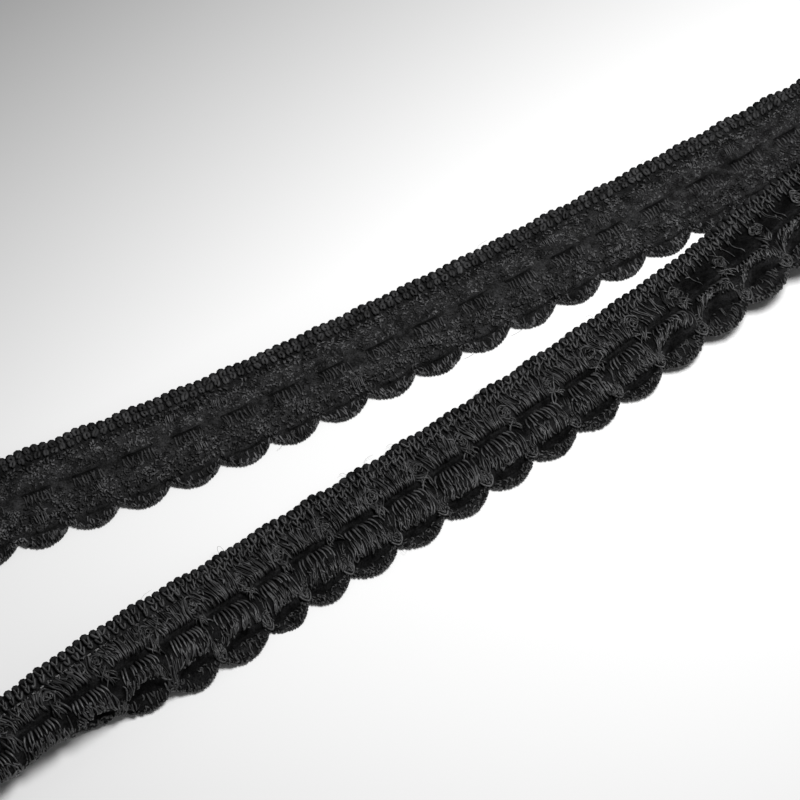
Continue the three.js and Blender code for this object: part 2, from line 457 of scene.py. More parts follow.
def shift_at(row, side="face"):
    """How far a row's middle is moved along the band, in scallops."""
    table = SECTIONS[side]
    return np.interp(row, np.arange(len(table)) / SAMPLES_PER_ROW, table[:, -1])


def lay(along, row, lift, side="face", clearance=0.0):
    """Places that lie on the knitted body, lifted off it along the section's normal."""
    along, row, lift = np.broadcast_arrays(along, row, lift)
    step = 0.08
    across, out = section(along, row, side)
    last = len(MARKS[side]) - 1
    across_after, out_after = section(along, np.minimum(row + step, last), side)
    across_before, out_before = section(along, np.maximum(row - step, 0), side)
    slope = np.stack([out_before - out_after, across_after - across_before], axis=-1)
    normal = unit(slope)
    return place(along, across + lift * normal[..., 0], out + lift * normal[..., 1], clearance)


def corner_uv(shape, left, right, low, high):
    """Places on the UV map of the four corners of each quad."""
    corners = ((left, low), (right, low), (right, high), (left, high))
    pairs = [np.broadcast_arrays(u, v, np.zeros(shape))[:2] for u, v in corners]
    return np.stack([np.stack(pair, axis=-1) for pair in pairs], axis=-2)


def tubes(laid, radii, shade, keep=None, sides=4, flat=False, broad=1.0):
    """Closed tubes round many paths at once.

    laid is what place gives for paths of shape (..., steps). Each ring is a circle about the path,
    square to it, and starts on the side of the forward direction for yarns that run across the
    band, or of the outward direction for flat loops that lie in it. broad stretches it that way.
    keep says which of the paths are made."""
    centres, forward, outward = laid
    shape = centres.shape[:-1]
    steps = shape[-1]
    keep = np.ones(centres.size // (3 * steps), bool) if keep is None else keep
    shade = np.broadcast_to(shade, shape).reshape(-1, steps)[keep]
    radii = np.broadcast_to(radii, shape).reshape(-1, steps)[keep]
    reference = (outward if flat else forward).reshape(-1, steps, 3)[keep]
    centres = centres.reshape(-1, steps, 3)[keep]
    number = len(centres)
    tangent = unit(np.gradient(centres, axis=1))
    first = unit(reference - tangent * np.sum(reference * tangent, axis=-1, keepdims=True))
    second = np.cross(tangent, first)
    turn = (2 * np.pi * np.arange(sides) / sides)[None, None, :, None]
    ring = first[:, :, None] * broad * np.cos(turn) + second[:, :, None] * np.sin(turn)
    points = centres[:, :, None] + ring * radii[:, :, None, None]
    index = np.arange(number * steps * sides).reshape(number, steps, sides)
    after = np.roll(index, -1, axis=2)
    quads = np.stack([index[:, :-1], after[:, :-1], after[:, 1:], index[:, 1:]], axis=-1)
    caps = np.concatenate([index[:, 0, ::-1], index[:, -1]])
    lengths = np.linalg.norm(np.diff(centres, axis=1), axis=-1)
    lengths = np.concatenate([np.zeros((number, 1)), np.cumsum(lengths, axis=1)], axis=1)[..., None]
    around = np.arange(sides + 1) / sides
    quad_uv = corner_uv(quads.shape[:3], around[:-1], around[1:], lengths[:, :-1], lengths[:, 1:])
    cap_around = np.repeat([around[:-1][::-1], around[:-1]], number, axis=0)
    cap_length = np.concatenate([lengths[:, 0], lengths[:, -1]])
    cap_uv = np.stack(np.broadcast_arrays(cap_around, cap_length), axis=-1)
    return {
        "points": points.reshape(-1, 3),
        "faces": [(quads.reshape(-1, 4), quad_uv.reshape(-1, 4, 2)), (caps, cap_uv)],
        "shade": np.repeat(shade.ravel(), sides),
    }


def build_piece(name, parts, material):
    """One mesh object from many parts. Each part has points, faces with a place on the UV map for
    each corner, and one shade for each point."""
    points = []
    loops = []
    totals = []
    places = []
    shades = []
    first = 0
    for part in parts:
        points.append(part["points"])
        shades.append(part["shade"])
        for faces, uv in part["faces"]:
            loops.append((faces + first).ravel())
            totals.append(np.full(len(faces), faces.shape[1]))
            places.append(uv.reshape(-1, 2))
        first += len(part["points"])
    points = np.concatenate(points) * MM
    loops = np.concatenate(loops)
    totals = np.concatenate(totals)
    mesh = bpy.data.meshes.new(name)
    mesh.vertices.add(len(points))
    mesh.vertices.foreach_set("co", points.astype(np.float32).ravel())
    mesh.loops.add(len(loops))
    mesh.loops.foreach_set("vertex_index", loops.astype(np.int32))
    mesh.polygons.add(len(totals))
    starts = np.concatenate([[0], np.cumsum(totals)[:-1]])
    mesh.polygons.foreach_set("loop_start", starts.astype(np.int32))
    mesh.polygons.foreach_set("loop_total", totals.astype(np.int32))
    mesh.update(calc_edges=True)
    mesh.polygons.foreach_set("use_smooth", np.ones(len(totals), bool))
    uv_map = mesh.uv_layers.new(name="yarn")
    uv_map.data.foreach_set("uv", np.concatenate(places).astype(np.float32).ravel())
    shade = mesh.attributes.new("shade", "FLOAT", "POINT")
    shade.data.foreach_set("value", np.concatenate(shades).astype(np.float32))
    mesh.validate()
    mesh.materials.append(material)
    piece = bpy.data.objects.new(name, mesh)
    bpy.context.scene.collection.objects.link(piece)
    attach(piece, BODY)
    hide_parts(NODE)
    return piece


def new_material(name):
    """A material, its node tree, its shader and the coordinates of the piece that wears it."""
    material = bpy.data.materials.new(name)
    material.use_nodes = True
    tree = material.node_tree
    coordinates = add_node(tree, "ShaderNodeTexCoord").outputs
    return material, tree, tree.nodes["Principled BSDF"], coordinates


def add_node(tree, kind, links=None, settings=None, **inputs):
    """A shader node with the sockets that feed it, its settings and its other inputs' values."""
    node = tree.nodes.new(kind)
    for key, value in (settings or {}).items():
        setattr(node, key, value)
    for key, value in inputs.items():
        node.inputs[key.replace("_", " ")].default_value = value
    for key, socket in (links or {}).items():
        tree.links.new(socket, node.inputs[key])
    return node


def noise(tree, places, scale, detail, roughness):
    """Noise at the given places, of about so many patches to a unit."""
    return add_node(tree, "ShaderNodeTexNoise", {"Vector": places}, Scale=scale, Detail=detail,
                    Roughness=roughness).outputs["Fac"]


def ranged(tree, value, start, end, low, high):
    """The value carried from one range over to another."""
    return add_node(tree, "ShaderNodeMapRange", {"Value": value}, From_Min=start, From_Max=end,
                    To_Min=low, To_Max=high).outputs["Result"]


def scaled(tree, colour, share):
    """The colour times a share."""
    node = add_node(tree, "ShaderNodeVectorMath", {0: colour, "Scale": share},
                    {"operation": "SCALE"})
    return node.outputs["Vector"]


def shade_ramp(tree, dark, light):
    """A colour that goes from dark to light with each strand's own shade."""
    shade = add_node(tree, "ShaderNodeAttribute", None, {"attribute_name": "shade"})
    ramp = add_node(tree, "ShaderNodeValToRGB", {"Fac": shade.outputs["Fac"]})
    ramp.color_ramp.elements[0].color = (*dark, 1)
    ramp.color_ramp.elements[1].color = (*light, 1)
    return ramp.outputs["Color"]


def raise_bump(tree, shader, height, strength, distance):
    """Gives the shader a bump of that height pattern."""
    bump = add_node(tree, "ShaderNodeBump", {"Height": height}, Strength=strength,
                    Distance=distance)
    tree.links.new(bump.outputs["Normal"], shader.inputs["Normal"])


def blotches(tree, coordinates, colour, scale=650.0):
    """The colour made darker and paler in soft blotches, so many to a metre."""
    patches = noise(tree, coordinates["Object"], scale, 3.0, 0.6)
    return scaled(tree, colour, ranged(tree, patches, 0.35, 0.65, 0.45, 1.55))


def yarn_material(name, colour, roughness, gloss, twist, spread):
    """Black yarn: its shade differs from strand to strand, fine fibres run along each strand as
    bump, a twist winds round it, and soft patches of fluff change the roughness."""
    material, tree, shader, coordinates = new_material(name)
    shader.inputs["Specular IOR Level"].default_value = gloss
    ramp = shade_ramp(tree, (c * (1 - spread) for c in colour), (c * (1 + spread) for c in colour))
    tree.links.new(blotches(tree, coordinates, ramp), shader.inputs["Base Color"])
    fluff = noise(tree, coordinates["Object"], 900.0, 3.0, 0.6)
    rough = ranged(tree, fluff, 0.0, 1.0, roughness - 0.12, roughness + 0.12)
    tree.links.new(rough, shader.inputs["Roughness"])
    stretch = add_node(tree, "ShaderNodeMapping", {"Vector": coordinates["UV"]},
                       Scale=(9.0, 1.1, 1.0), Rotation=(0.0, 0.0, 0.12))
    fibres = noise(tree, stretch.outputs["Vector"], 1.0, 4.0, 0.65)
    winding = add_node(tree, "ShaderNodeTexWave", {"Vector": coordinates["UV"]},
                       {"bands_direction": "DIAGONAL"}, Scale=twist, Distortion=0.6, Detail=1.0)
    both = add_node(tree, "ShaderNodeMath", {0: winding.outputs["Fac"], 2: fibres},
                    {"operation": "MULTIPLY_ADD"})
    both.inputs[1].default_value = 0.35
    raise_bump(tree, shader, both.outputs["Value"], 0.6, 0.00008)
    return material


def knit_material(name, core, yarn):
    """The knitted body: painted shade makes it almost black deep between the stitches on the face,
    and it is a little lighter, matt and fluffy on the back, with crossed threads as bump."""
    material, tree, shader, coordinates = new_material(name)
    shader.inputs["Roughness"].default_value = 0.9
    shader.inputs["Specular IOR Level"].default_value = 0.03
    blotched = blotches(tree, coordinates, shade_ramp(tree, core, (c * 0.75 for c in yarn)))
    grained = blotches(tree, coordinates, blotched, 4200.0)
    tree.links.new(grained, shader.inputs["Base Color"])
    threads = add_node(tree, "ShaderNodeMapping", {"Vector": coordinates["UV"]},
                       Scale=(26.0, 1.6, 1.0))
    strands = noise(tree, threads.outputs["Vector"], 1.0, 4.0, 0.6)
    raise_bump(tree, shader, strands, 0.8, 0.00025)
    return material


def finish_named(name):
    """The material of that name, made on first use."""
    if name in bpy.data.materials:
        return bpy.data.materials[name]
    finish = bpy.context.scene.picot_finish
    yarn = tuple(finish.yarn_colour)
    if name == "knit_core":
        return knit_material(name, tuple(finish.painted_core_shade), yarn)
    # How light the yarn is, its roughness, gloss and twist, and how far its strands differ
    recipes = {
        # The bead yarn is the same black yarn made darker: painted shade on the beads
        "shaded_bead_yarn": (0.5, 0.7, 0.0, 3.0, 0.85),
        "heading_yarn": (1.4, 0.38, 0.42, 3.0, 0.5),
        "shell_yarn": (1.75, 0.4, 0.4, 1.0, 0.75),
        "knot_yarn": (1.2, 0.4, 0.4, 1.0, 0.75),
        "lobe_yarn": (1.0, 0.42, 0.4, 3.0, 0.8),
        "back_yarn": (2.2, 0.7, 0.15, 1.5, 0.75),
    }
    light, *others = recipes[name]
    return yarn_material(name, tuple(c * light for c in yarn), *others)


def rounded(steps, ends=0.45):
    """Share of the full radius at each step of a yarn: 1, drawn in at both ends."""
    share = np.ones(steps)
    share[0] = ends
    share[-1] = ends
    return share


def per_scallop(number, steps):
    """Scallop middles, yarn places from -1 to 1 and path places from 0 to 1, ready to multiply."""
    spread = np.linspace(-1, 1, number)[None, :, None]
    path = np.linspace(0, 1, steps)[None, None, :]
    return MIDDLES[:-1, None, None], spread, path


def draws(rng, shape):
    """Two ways to draw a number for each yarn: round a middle with a spread, and evenly between
    two ends."""
    def about(middle, spread):
        return rng.normal(middle, spread, shape)

    def between(low, high):
        return rng.uniform(low, high, shape)

    return about, between


def kept(rng, number, side="face", places=KNOTS[:-1]):
    """Which of a number of yarns at each place are made: all of them where their side shows, and
    a share of them where it lies on the surface."""
    share = np.interp(np.ravel(places), *THINNED[side])
    return (rng.random((len(share), number)) < share[:, None]).ravel()


def clumps(rng, number, together, apart):
    """Yarn places from -1 to 1 for every scallop, in clumps of a few yarns that lie close, and a
    sideways lean that the yarns of one clump share."""
    count = -(-number // together)
    centre = np.linspace(-1, 1, count)[None, :] + rng.normal(0, 0.35 / count, (SCALLOPS, count))
    lean = rng.normal(0, 1, (SCALLOPS, count))
    centre = np.repeat(centre, together, axis=1)[:, :number]
    lean = np.repeat(lean, together, axis=1)[:, :number]
    spread = centre + rng.normal(0, apart, (SCALLOPS, number))
    return spread[..., None], lean[..., None]


def knit_body():
    """Closed skin of the knitted body: rings of the section, each carried to its place along the
    band, with both cut ends closed. One quad of the face and one of the back are left out at each
    hole, and four walls join their edges. The shade goes by row, with painted shade on the face
    where the first shells are sunk, and on the back behind the heading's rings and under the
    lobes' grains. The back's lines are darkest at the middle of each scallop, painted shade in the
    grooves of the high and low lines."""
    marks = MARKS["back"]
    face_count = 2 * (len(FACE_ROWS) - 1) + 1
    along = np.linspace(0, SCALLOPS, SCALLOPS * STEPS_PER_SCALLOP + 1)[:, None]
    face_row = np.linspace(0, len(FACE_ROWS) - 1, face_count)[None, :]
    back_row = np.arange(1, len(BACK_ROWS) - 1)[None, :] * 1.0
    face = lay(along, face_row, 0.0, "face")[0]
    back = lay(along, back_row, 0.0, "back")[0]
    rings = np.concatenate([face, back], axis=1)
    count = rings.shape[1]
    index = np.arange(rings.shape[0] * count).reshape(rings.shape[0], count)
    after = np.roll(index, -1, axis=1)
    quads = np.stack([index[:-1], index[1:], after[1:], after[:-1]], axis=-1)
    ring_lengths = np.linalg.norm(np.diff(rings, axis=1), axis=-1).mean(0)
    across = np.concatenate([[0], np.cumsum(ring_lengths), [ring_lengths.sum() + 0.4]])
    uv = corner_uv(quads.shape[:2], along[:-1], along[1:], across[:-1], across[1:])
    shade = np.ones(rings.shape[:2])
    # Painted shade: the face is darkened where the first shells are sunk
    sunk = np.interp(along, MIDDLES, SUNK) * (face_row > 3) * (face_row < 8)
    shade[:, :face_count] = np.interp(face_row, FACE_SHADE_ROWS, FACE_SHADES) * (1 - sunk)
    # Painted shade: the back is darker behind the heading's rings and under the lobes' grains
    shade[:, face_count + marks["head_end"] - 1:] = 0.35
    shade[:, face_count:face_count + marks["lobe_end"]] = 0.35
    # Painted shade in the grooves of the high and low lines, darkest at each scallop's middle
    for name, dark in BACK_LINES:
        middle = np.abs(np.sin(np.pi * (along[:, 0] - shift_at(marks[name], "back"))))
        shade[:, face_count + marks[name] - 1] = 1 - dark * smoothstep(2 * middle - 0.8)
    steps = STEPS_PER_SCALLOP // STITCHES * np.arange(HOLES_FROM * STITCHES, HOLES_TO * STITCHES)
    face_hole = 2 * MARKS["face"]["head_end"]
    back_hole = face_count + marks["head_end"] - 1
    whole = np.ones(quads.shape[:2], bool)
    whole[steps, face_hole] = False
    whole[steps, back_hole] = False
    mouth = quads[steps, face_hole]
    far = quads[steps, back_hole][:, [3, 2, 1, 0]]
    walls = np.stack([mouth, np.roll(mouth, -1, 1), np.roll(far, -1, 1), far], axis=-1)
    faces = [(quads[whole], uv[whole])]
    for plain in (
        walls.reshape(-1, 4),
        end_strip(index[0], face_count),
        end_strip(index[-1][::-1], count - face_count),
    ):
        faces.append((plain, np.zeros((*plain.shape, 2))))
    return {"points": rings.reshape(-1, 3), "faces": faces, "shade": shade.ravel()}


def end_strip(ring, split):
    """Closes a ring with triangles that step from its first half to its second."""
    upper = ring[:split]
    lower = ring[split:][::-1]
    steps = 24
    top = upper[np.round(np.linspace(0, len(upper) - 1, steps)).astype(int)]
    bottom = lower[np.round(np.linspace(0, len(lower) - 1, steps)).astype(int)]
    one = np.stack([top[:-1], top[1:], bottom[1:]], axis=-1)
    two = np.stack([top[:-1], bottom[1:], bottom[:-1]], axis=-1)
    return np.concatenate([one, two])


def heading_beads(sizes, rng):
    """One plump yarn a stitch, wrapped over the heading edge on an arc from the face to the back,
    broad enough to touch its neighbours and thickest where it turns over the edge. Its shade is
    darkest there: painted shade on the dome over the edge."""
    about, between = draws(rng, STITCH_MIDDLES.shape)
    turn = np.radians(np.linspace(120, -120, 9))[None, :]
    across = 0.66 - 0.30 * np.cos(turn)
    out = 0.50 + 0.30 * np.sin(turn)
    along = STITCH_MIDDLES + about(0, 0.005) + 0.012 * np.sin(turn)
    radius = sizes.bead_radius / MM * about(1, 0.05) * (0.62 + 0.38 * np.cos(turn / 1.5))
    tail = smoothstep(1.5 * np.abs(np.sin(turn)) - 0.4) * np.where(turn > 0, 0.6, 0.5)
    shade = 0.05 + 0.15 * between(0, 1) + tail
    return tubes(place(along, across, out, radius), radius, shade, sides=8, broad=1.22)


def heading_eyes(sizes, rng):
    """Two rows of loops behind the beads, one of each a stitch, drawn out like needles' eyes. With
    a turn that goes from 0 to half a circle, a loop's place along is minus the cosine plus a
    squared sine that pulls the tip aside, and its place across is the squared sine."""
    about, between = draws(rng, STITCH_MIDDLES.shape)
    turn = np.pi * np.linspace(0.02, 0.98, 9)[None, :]
    hook = np.sin(turn) ** 2
    parts = []
    for start, length, half, tilt, level in (
        (0.72, 0.82, 0.38, 0.12, 1.12),
        (1.58, 0.88, 0.32, 0.18, 1.0),
    ):
        wide = half * about(1, 0.15)
        long = length * about(1, 0.12)
        beside = about(tilt, 0.13) * hook + (about(0, 0.04) + about(0, 0.05) * hook)
        along = STITCH_MIDDLES + (0.08 - wide * np.cos(turn) + beside) / PITCH_AT_ORIGIN
        across = start + long * hook + about(0, 0.1) * np.cos(turn)
        out = level - 0.16 * hook + about(0, 0.05) + about(0, 0.08) * np.cos(turn)
        radius = sizes.strand_radius / MM * about(1, 0.15) * (0.85 + 0.2 * np.sin(2 * turn) ** 2)
        # Each loop's shade is darker towards its tip, where it dips into the knit: painted shade
        parts.append(tubes(place(along, across, out, radius), radius,
                           between(0.3, 0.9) - 0.35 * hook,
                           kept(rng, 1, places=STITCH_MIDDLES), 5, True))
    return parts


def heading_links(sizes, rng):
    """Short strands of the heading, four a stitch, each a slack arc: one inside the eye near the
    bead, one that slants to the next eye, and two that run from the tips to the floats. There are
    none where the holes are."""
    about, between = draws(rng, STITCH_MIDDLES.shape)
    path = np.linspace(0, 1, 5)[None, :]
    slack = np.sin(np.pi * path)
    parts = []
    for beside, reach, across, fall, level in (
        (-0.2, 0.75, 1.15, 0.15, 0.95),
        (0.45, 0.85, 1.35, 0.6, 0.85),
        (0.3, 0.05, 2.1, 1.4, 0.9),
        (0.95, 0.1, 1.9, 0.9, 0.75),
    ):
        turn = about(0, 0.16)
        along = STITCH_MIDDLES + (beside + turn + (reach - turn) * path) / PITCH_AT_ORIGIN
        below = across + about(0, 0.1) + fall * path + 0.14 * slack
        out = level + 0.1 * slack + about(0, 0.04)
        radius = 0.7 * sizes.strand_radius / MM * about(1, 0.2)
        keep = kept(rng, 1, places=STITCH_MIDDLES) & (STITCH_MIDDLES[:, 0] < HOLES_FROM)
        parts.append(tubes(place(along, below, out, radius), radius, 0.8 * between(0, 1), keep))
    return parts


def first_shell_floats(sizes, rng):
    """Fine floats in clumps that come from the heading, draw together towards the lip and end on
    it here and there, with dashes over them."""
    number = sizes.floats
    middle, _, path = per_scallop(number, 9)
    _, between = draws(rng, (SCALLOPS, number, 1))
    marks = MARKS["face"]
    spread, lean = clumps(rng, number, 2, 0.03)
    pulled = smoothstep(2 * (middle - HOLES_FROM))
    start = marks["head_end"] + between(-0.05, 0.4) + 0.3 * pulled
    end = marks["first_under"] - between(0, 1.0)
    row = start + (end - start) * path
    reach = 0.95 - 0.27 * smoothstep(path * 1.4)
    slant = rng.normal(0.02, 0.03, (SCALLOPS, 1, 1))
    sway = 0.02 * np.sin(2 * np.pi * (path * between(0.5, 1.2) + between(0, 1)))
    bend = (0.02 * lean + slant) * (path - 0.5)
    along = middle + shift_at(row) + 0.5 * spread * reach + sway + bend
    lift = 0.02 + 0.26 * between(0, 1) + 0.06 * np.abs(lean) * np.sin(np.pi * path)
    radius = sizes.filament_radius / MM * (0.65 + 0.6 * between(0, 1)) * rounded(9)
    keep = kept(rng, number) & standing(between, SUNK)
    floats = tubes(lay(along, row, lift, "face", radius), radius, between(0, 1), keep)
    return [floats, dashes(sizes, rng, 26, marks["head_end"] + 0.3, 3.1, 0.4, SUNK)]


def standing(between, sunk):
    """Which yarns of each scallop stay, when almost none do where its shells are sunk."""
    return (between(0, 1) > 0.9 * sunk[:-1, None, None]).ravel()


def dashes(sizes, rng, number, first, rows, reach, sunk):
    """Short bent dashes that lie highest on the shells, each at its own slant."""
    middle, _, path = per_scallop(number, 5)
    about, between = draws(rng, (SCALLOPS, number, 1))
    arch = np.sin(np.pi * path)
    row = first + between(0, rows) + between(0.3, 0.9) * (path - 0.5)
    along = middle + shift_at(row) + between(-reach, reach)
    along = along + about(0, 0.045) * (path - 0.5) + about(0, 0.01) * arch
    lift = 0.18 + 0.12 * between(0, 1) + 0.08 * arch
    radius = sizes.filament_radius / MM * rounded(5) * between(0.9, 1.4)
    keep = kept(rng, number) & standing(between, sunk)
    return tubes(lay(along, row, lift, "face", radius), radius, between(0.3, 1), keep)


def second_shell_ribs(sizes, rng):
    """Comb-like ribs that start low in the slot, stand clear of the body, fan towards the crest and
    thin as they go. Painted shade darkens each rib where it starts low in the slot."""
    number = sizes.ribs
    middle, spread, path = per_scallop(number, 10)
    about, between = draws(rng, (SCALLOPS, number, 1))
    marks = MARKS["face"]
    spread = spread + about(0, 0.035)
    start = marks["slot_floor"] + 0.8 + between(-0.1, 0.15)
    end = marks["second_rise"] + between(-0.2, 0.6)
    row = start + (end - start) * path
    reach = 0.58 + 0.12 * smoothstep(path * 1.3)
    lean = rng.normal(0, 0.02, (SCALLOPS, 1, 1)) + about(0, 0.012)
    along = middle + shift_at(row) + 0.5 * spread * reach + lean * path
    lift = 0.24 + about(0, 0.05) - 0.1 * path
    thin = 1 - 0.45 * smoothstep(path * 1.4 - 0.3)
    radius = sizes.rib_radius / MM * thin * rounded(10, 0.8) * between(0.85, 1.15)
    keep = kept(rng, number)
    shade = between(0.1, 0.4) + 0.6 * smoothstep(path * 1.3)
    return tubes(lay(along, row, lift, "face", radius), radius, shade, keep, 5)


def second_shell_filaments(sizes, rng):
    """Fine filaments in clumps that come up between the ribs, run over the crest at slightly
    different slants and end here and there on the lip, with dashes over them."""
    number = sizes.filaments
    middle, _, path = per_scallop(number, 8)
    _, between = draws(rng, (SCALLOPS, number, 1))
    marks = MARKS["face"]
    spread, lean = clumps(rng, number, 2, 0.03)
    start = marks["second_rise"] + between(-0.5, 0.9)
    end = marks["second_nose"] + between(-0.9, 0.2)
    row = start + (end - start) * path
    reach = 0.76 + 0.04 * smoothstep(path)
    slant = rng.normal(0, 0.04, (SCALLOPS, 1, 1))
    sway = 0.02 * np.sin(2 * np.pi * (path * between(0.4, 1.1) + between(0, 1)))
    bend = (0.03 * lean + slant) * (path - 0.3)
    along = middle + shift_at(row) + 0.5 * spread * reach + sway + bend
    lift = 0.04 + 0.24 * between(0, 1) + 0.05 * np.abs(lean) * np.sin(np.pi * path)
    radius = sizes.filament_radius / MM * (0.65 + 0.6 * between(0, 1)) * rounded(8)
    keep = kept(rng, number)
    fine = tubes(lay(along, row, lift, "face", radius), radius, between(0, 1), keep)
    return [fine, dashes(sizes, rng, 26, marks["comb"] + 0.9, 3.0, 0.36, NONE_SUNK)]


def rosettes(sizes, rng):
    """At each knot of the first row, a nest of short arcs, each part of a circle of its own size,
    place and turn, heaped highest in the middle, inside one loose crooked loop that stays open."""
    knots = INNER_KNOTS - KNOT_LEAD
    about, between = draws(rng, knots.shape)
    turn = between(1.1, 1.7) * np.pi * np.linspace(0, 1, 15)[None, :] + between(0, FULL_TURN)
    corner = 1 + 0.12 * np.cos(4 * turn) + 0.16 * np.sin(turn + between(0, FULL_TURN))
    corner = corner + 0.08 * np.sin(3 * turn + between(0, FULL_TURN))
    half = between(0.65, 1.15)
    tall = between(0.9, 1.5)
    along = knots + (half * corner * np.cos(turn) + about(0, 0.15)) / ROUND_PITCH
    across = 4.6 + half * tall * corner * np.sin(turn) + about(0, 0.2)
    out = 1.15 + 0.25 * np.cos(2 * turn + between(0, FULL_TURN))
    loop = tubes(place(along, across, out, 0.16), 0.13, between(0.5, 1),
                 kept(rng, 1, places=knots), 5, True)
    count = 14
    about, between = draws(rng, (len(knots), count, 1))
    size = between(0.35, 0.75)
    swing = between(0, FULL_TURN) + between(1.6, 4.4) * np.linspace(0, 1, 7)[None, None, :]
    beside = about(0, 0.35) + size * np.cos(swing)
    below = about(0, 0.35) + 1.1 * size * np.sin(swing)
    dome = np.clip(1 - (beside**2 + below**2) / 1.6, 0, 1)
    out = 0.85 + 0.75 * dome * between(0.5, 1.0) + 0.08 * np.sin(3 * swing)
    radius = sizes.filament_radius / MM * between(0.9, 1.6) * rounded(7)
    laid = place(knots[:, None] + beside / PITCH_AT_ORIGIN, 4.75 + below, out, 0.1)
    nest = tubes(laid, radius, between(0, 1), kept(rng, count, places=knots), flat=True)
    return [loop, nest]


def slot_bridges(sizes, rng):
    """Between two slots, strands that cross like an X: each starts on one side of the knot above
    and ends on the other side below."""
    knots = INNER_KNOTS[:, None] - KNOT_LEAD
    count = 11
    about, between = draws(rng, (len(knots), count, 1))
    path = np.linspace(0, 1, 8)[None, None, :]
    side = np.where(np.arange(count) % 2 == 0, 1.0, -1.0)[None, :, None]
    first = side * between(-0.3, 1.35)
    last = side * between(-1.3, 0.7)
    bend = about(0, 0.22) * np.sin(np.pi * path) + about(0, 0.16) * np.sin(2 * np.pi * path)
    along = knots + (first + (last - first) * smoothstep(path) + bend) / PITCH_AT_ORIGIN
    start = 5.6 + between(-0.3, 0.4)
    across = start + (7.9 + between(-0.9, 0.6) - start) * path
    out = 0.75 + 0.3 * np.sin(np.pi * path) + between(0, 0.35)
    radius = 1.25 * sizes.filament_radius / MM * rounded(8) * (0.8 + 0.5 * between(0, 1))
    return tubes(place(along, across, out, 0.1), radius, 0.75 * between(0, 1),
                 kept(rng, count, places=knots))


def cusp_knots(rng):
    """At each notch, two loops shaped like a V with a round tip, strands that run down between
    two shells and draw together into them, and small arcs inside."""
    return [*notch_loops(rng), notch_strands(rng), notch_arcs(rng)]


def notch_loops(rng):
    """Two loops a notch: half a turn, with straight ends that run up between the shells."""
    knots = INNER_KNOTS - NOTCH_LEAD
    about, between = draws(rng, knots.shape)
    swing = np.linspace(-0.2, 1.2, 13)[None, :]
    turn = np.pi * np.clip(swing, 0, 1)
    straight = np.maximum(-swing, 0) + np.maximum(swing - 1, 0)
    narrow = np.cos(turn) * np.abs(np.cos(turn)) ** 0.3
    for half_width, tip in ((0.8, 13.0), (0.42, 12.6)):
        along = knots + half_width * about(1, 0.1) * narrow / PITCH_AT_ORIGIN + about(0, 0.01)
        across = tip - 1.2 + 1.2 * np.sin(turn) ** 1.3 - 3.0 * straight
        out = 1.1 - 0.1 * np.sin(turn) - 0.5 * straight + about(0, 0.06)
        yield tubes(place(along, across, out, 0.2), 0.15 * rounded(13, 0.5), between(0.5, 1),
                    kept(rng, 1, places=knots), 5, True)


def notch_strands(rng):
    """Strands a notch that start wide between the shells and close in on it by a smooth S. Painted
    shade darkens them where they start deep between the shells.
    """
    knots = INNER_KNOTS[:, None] - NOTCH_LEAD
    count = 12
    about, between = draws(rng, (len(knots), count, 1))
    path = np.linspace(0, 1, 9)[None, None, :]
    spread = np.linspace(-1, 1, count)[None, :, None]
    spread = np.sign(spread) * np.abs(spread) ** 0.5
    start = 7.3 + 1.2 * np.abs(spread) + 0.5 * between(0, 1)
    width = 1.45 - 0.95 * smoothstep(path * 1.3) + 0.25 * smoothstep(path * 4 - 3)
    along = knots - (KNOT_LEAD - NOTCH_LEAD) * (1 - path) + spread * width / PITCH_AT_ORIGIN
    along = along + about(0, 0.012) + about(0, 0.02) * np.sin(6 * path)
    across = start + (12.45 - 0.5 * spread**2 - start) * path
    out = 0.78 + 0.1 * np.sin(np.pi * path) + 0.25 * np.abs(spread) * (1 - path)
    out = out + 0.35 * smoothstep(path * 2.2 - 1.2) + about(0, 0.1)
    radius = 0.12 * rounded(9, 0.6) * (0.8 + 0.5 * between(0, 1))
    shade = between(0.2, 1.0) * smoothstep(1.6 * path + 0.3)
    return tubes(place(along, across, out, 0.2), radius, shade, kept(rng, count, places=knots))


def notch_arcs(rng):
    """Small arcs strewn from each notch up between the shells, closer together near the notch."""
    knots = INNER_KNOTS[:, None] - NOTCH_LEAD
    count = 16
    about, between = draws(rng, (len(knots), count, 1))
    arc = np.linspace(0, 1, 5)[None, None, :]
    swing = between(0, FULL_TURN) + between(1.5, 3.5) * arc
    middle = between(0, 1) ** 0.6
    beside = about(0, 0.38) + 0.32 * np.cos(swing) - 0.6 * (1 - middle)
    below = 3.4 * (middle - 1) + 0.5 + 0.32 * np.sin(swing)
    out = 0.75 + 0.3 * middle + between(0, 0.3) + 0.1 * np.sin(np.pi * arc)
    return tubes(place(knots + beside / PITCH_AT_ORIGIN, 12.0 + below, out, 0.1),
                 0.13 * rounded(5), between(0, 1), kept(rng, count, places=knots), flat=True)


def round_rim(along, inside, outside, steps, clearance):
    """A path that comes from the face, goes round the rim and ends on the back. inside and outside
    count section rows from the rim."""
    face_steps = steps - 3
    before = np.linspace(1, 0, face_steps) * inside
    after = np.linspace(1 / 3, 1, 3) * outside
    rim = len(FACE_ROWS) - 1
    lift = 0.08
    near = clearance[..., :face_steps]
    face = lay(along[..., :face_steps], rim - before, lift, "face", near)
    back = lay(along[..., face_steps:], after, lift, "back", clearance[..., face_steps:])
    return tuple(np.concatenate(pair, axis=-2) for pair in zip(face, back))


